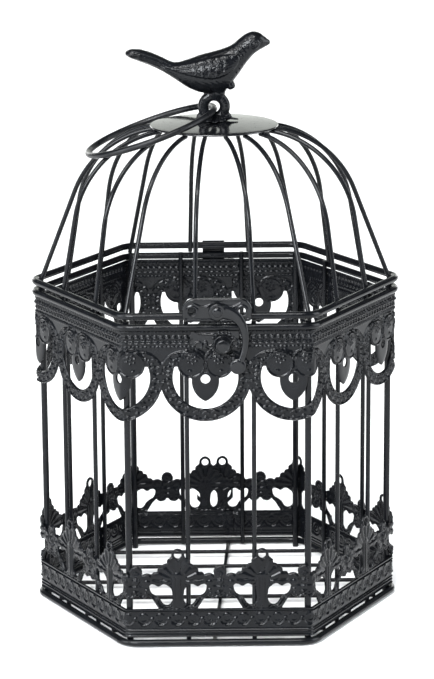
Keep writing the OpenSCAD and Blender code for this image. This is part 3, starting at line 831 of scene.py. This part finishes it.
def finial_parts(foot_z, root, eye_z):
    """Rough closed forms that overlap: bird, eye, neck, foot with its petals and flare, stud and knobs."""
    neck = [(1.3, 0, eye_z + 2.6, 2.2), (1.3, 0, eye_z + 4.6, 3.2), (1.35, 0, eye_z + 5.6, 3.5),
            (1.4, 0, eye_z + 6.6, 3.6), (1.5, 0, eye_z + 8.2, 4.6), (1.5, 0, eye_z + 10, 5)]
    foot = [(0, 0, root + up, radius) for up, radius in ((0.05, 6.0), (0.7, 5.6), (1.6, 4.2), (2.4, 2.6))]
    stud = [(0, 0, foot_z, 1.9), (0, 0, foot_z + 0.3, 2.0), (0, 0, root + 0.6, 2.0)]
    flare = [(0, 0, root + up, radius) for up, radius in ((0.3, 7.0), (1.3, 7.6), (2.3, 7.5), (3.3, 6.8))]
    parts = [bird_body(), eye_loop(eye_z), round_bar(neck, 0.95), round_bar(foot), round_bar(stud),
             round_bar(flare, 0.28)]
    for side in (-1, 1):
        y = side * 1.7
        parts.append(round_bar([(7.0, y, 228.8, 0.6), (7.3, y, 229.6, 1.7), (7.3, y, 230.6, 2.0),
                                (6.8, y, 232.0, 1.8), (6.0, side * 1.6, 233.5, 1.0)]))
    for turn, reach in ((0, 10.6), (90, 8.8), (180, 8.9), (270, 9.2)):
        parts.append(petal(math.radians(turn), reach, 3.3, root + 2.2, root + 0.45))
    return parts


def merged(parts):
    """One softened skin round forms that overlap."""
    points, faces = [], []
    for more_points, more_faces in parts:
        faces += [[len(points) + n for n in face] for face in more_faces]
        points += more_points
    rough = add_mesh("rough_bird", points, faces)
    remesh = rough.modifiers.new("skin", "REMESH")
    remesh.mode = "VOXEL"
    remesh.voxel_size = 0.3 * MM
    soften = rough.modifiers.new("soften", "SMOOTH")
    soften.factor, soften.iterations = 0.5, 3
    mesh = bpy.data.meshes.new_from_object(rough.evaluated_get(bpy.context.evaluated_depsgraph_get()))
    bpy.data.objects.remove(rough)
    return mesh


def add_bird():
    """Bird, knobs, neck, eye and petal foot, cast as one piece, with feathers and a hammered skin."""
    low, high = box_mm("bird_finial")
    root = box_mm("dome_cap")[1].z
    eye_z = root + EYE_LIFT
    mesh = merged(finial_parts(low.z, root, eye_z))
    count = len(mesh.vertices)
    co, normal = np.empty(3 * count), np.empty(3 * count)
    mesh.vertices.foreach_get("co", co)
    mesh.vertices.foreach_get("normal", normal)
    co, normal = co.reshape(-1, 3) / MM, normal.reshape(-1, 3)
    height = feather_relief(co[:, 0], co[:, 2])
    sideways = soft_step(np.abs(normal[:, 1]), 0.25, 0.6) * (co[:, 2] > eye_z + 8)
    co[:, 1] += np.sign(co[:, 1]) * height * sideways
    hammered = (np.sin(co[:, 0] * 2.1 + 3 * np.sin(co[:, 2] * 1.3))
                * np.sin(co[:, 2] * 2.3 + 2 * np.sin(co[:, 1] * 1.9)))
    co += normal * (0.045 * hammered)[:, None]
    co[:, 2] = np.minimum(co[:, 2], high.z - 0.02)
    mesh.vertices.foreach_set("co", (co * MM).ravel())
    mesh.polygons.foreach_set("use_smooth", np.ones(len(mesh.polygons), bool))
    piece = bpy.data.objects.new("bird_cast", mesh)
    bpy.context.scene.collection.objects.link(piece)
    return piece


# ---- paint --------------------------------------------------------------------


def painted(name, colour, roughness, shine, peel=(1.6, 0.02), grit=(0.5, 0.01), spread=0.08, specks=False):
    """Sprayed black paint: orange peel and grit as (size in mm, height in mm), a roughness that
    wanders by spread, and specks where the paint is dull."""
    paint = bpy.data.materials.new(name)
    paint.use_nodes = True
    tree = paint.node_tree
    shader = tree.nodes["Principled BSDF"]
    shader.inputs["Specular IOR Level"].default_value = shine
    where = tree.nodes.new("ShaderNodeTexCoord").outputs["Object"]

    def noise(size_mm, detail=2.0):
        node = tree.nodes.new("ShaderNodeTexNoise")
        node.inputs["Scale"].default_value = 1 / (size_mm * MM)
        node.inputs["Detail"].default_value = detail
        tree.links.new(where, node.inputs["Vector"])
        return node.outputs["Fac"]

    def to_range(value, low, high, from_low=0.3, from_high=0.7):
        node = tree.nodes.new("ShaderNodeMapRange")
        ends = {"From Min": from_low, "From Max": from_high, "To Min": low, "To Max": high}
        for label, number in ends.items():
            node.inputs[label].default_value = number
        tree.links.new(value, node.inputs["Value"])
        return node.outputs["Result"]

    def mixed(factor, one, two):
        node = tree.nodes.new("ShaderNodeMix")
        node.data_type = "RGBA"
        tree.links.new(factor, node.inputs["Factor"])
        node.inputs["A"].default_value = (*one, 1)
        node.inputs["B"].default_value = (*two, 1)
        return node.outputs["Result"]

    tint = mixed(to_range(noise(7), 0, 1), tuple(0.75 * c for c in colour), tuple(1.3 * c for c in colour))
    rough = to_range(noise(4, 4), roughness - spread, roughness + spread)
    if specks:
        tree.links.new(to_range(noise(1.5, 1), shine, 0, 0.70, 0.73), shader.inputs["Specular IOR Level"])
    tree.links.new(tint, shader.inputs["Base Color"])
    tree.links.new(rough, shader.inputs["Roughness"])

    normal = None
    for size_mm, height_mm in (peel, grit):
        node = tree.nodes.new("ShaderNodeBump")
        node.inputs["Strength"].default_value = 1
        node.inputs["Distance"].default_value = height_mm * MM
        tree.links.new(noise(size_mm), node.inputs["Height"])
        if normal:
            tree.links.new(normal, node.inputs["Normal"])
        normal = node.outputs["Normal"]
    tree.links.new(normal, shader.inputs["Normal"])
    return paint


def all_paints():
    """One paint for each of the record's material slots."""
    black = (0.0030, 0.0034, 0.0042)
    return {
        "wire_paint": painted("wire_black", black, 0.17, 0.15),
        "lace_paint": painted("lace_black", black, 0.13, 0.15, peel=(1.1, 0.010), spread=0.04),
        "cast_paint": painted("cast_black", black, 0.17, 0.15, peel=(0.9, 0.03)),
        "cap_paint": painted("cap_gloss_black", black, 0.12, 0.5, peel=(6, 0.012), grit=(1.1, 0.02),
                             spread=0.04, specks=True),
        "hardware_paint": painted("latch_black", black, 0.16, 0.24, peel=(0.8, 0.014), spread=0.05),
        "handle_paint": painted("handle_black", black, 0.34, 0.22, peel=(0.7, 0.03), spread=0.12),
    }


# ---- the scene ---------------------------------------------------------------

add_camera()
add_floor()
add_lights()
paints = all_paints()

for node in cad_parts.values():
    node.data.materials[0] = paints[node.data.materials[0].name]

PIECES = (
    (add_upper_band, "upper_lace_band", "cage_body", "lace_paint"),
    (add_lower_band, "lower_lace_band", "cage_body", "lace_paint"),
    (add_catch_plate, "catch_plate", "cage_body", "hardware_paint"),
    (add_stud, "catch_stud", "cage_body", "hardware_paint"),
    (add_cap, "dome_cap", "lid", "cap_paint"),
    (add_bird, "bird_finial", "lid", "cast_paint"),
    (add_latch_plate, "latch_plate", "lid", "hardware_paint"),
    (add_rivet, "latch_rivet", "lid", "hardware_paint"),
    (add_latch_hook, "latch_hook", "hook", "hardware_paint"),
)
for make, node, body, slot in PIECES:
    piece = make()
    piece.data.materials.append(paints[slot])
    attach(piece, body)
    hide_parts(node)
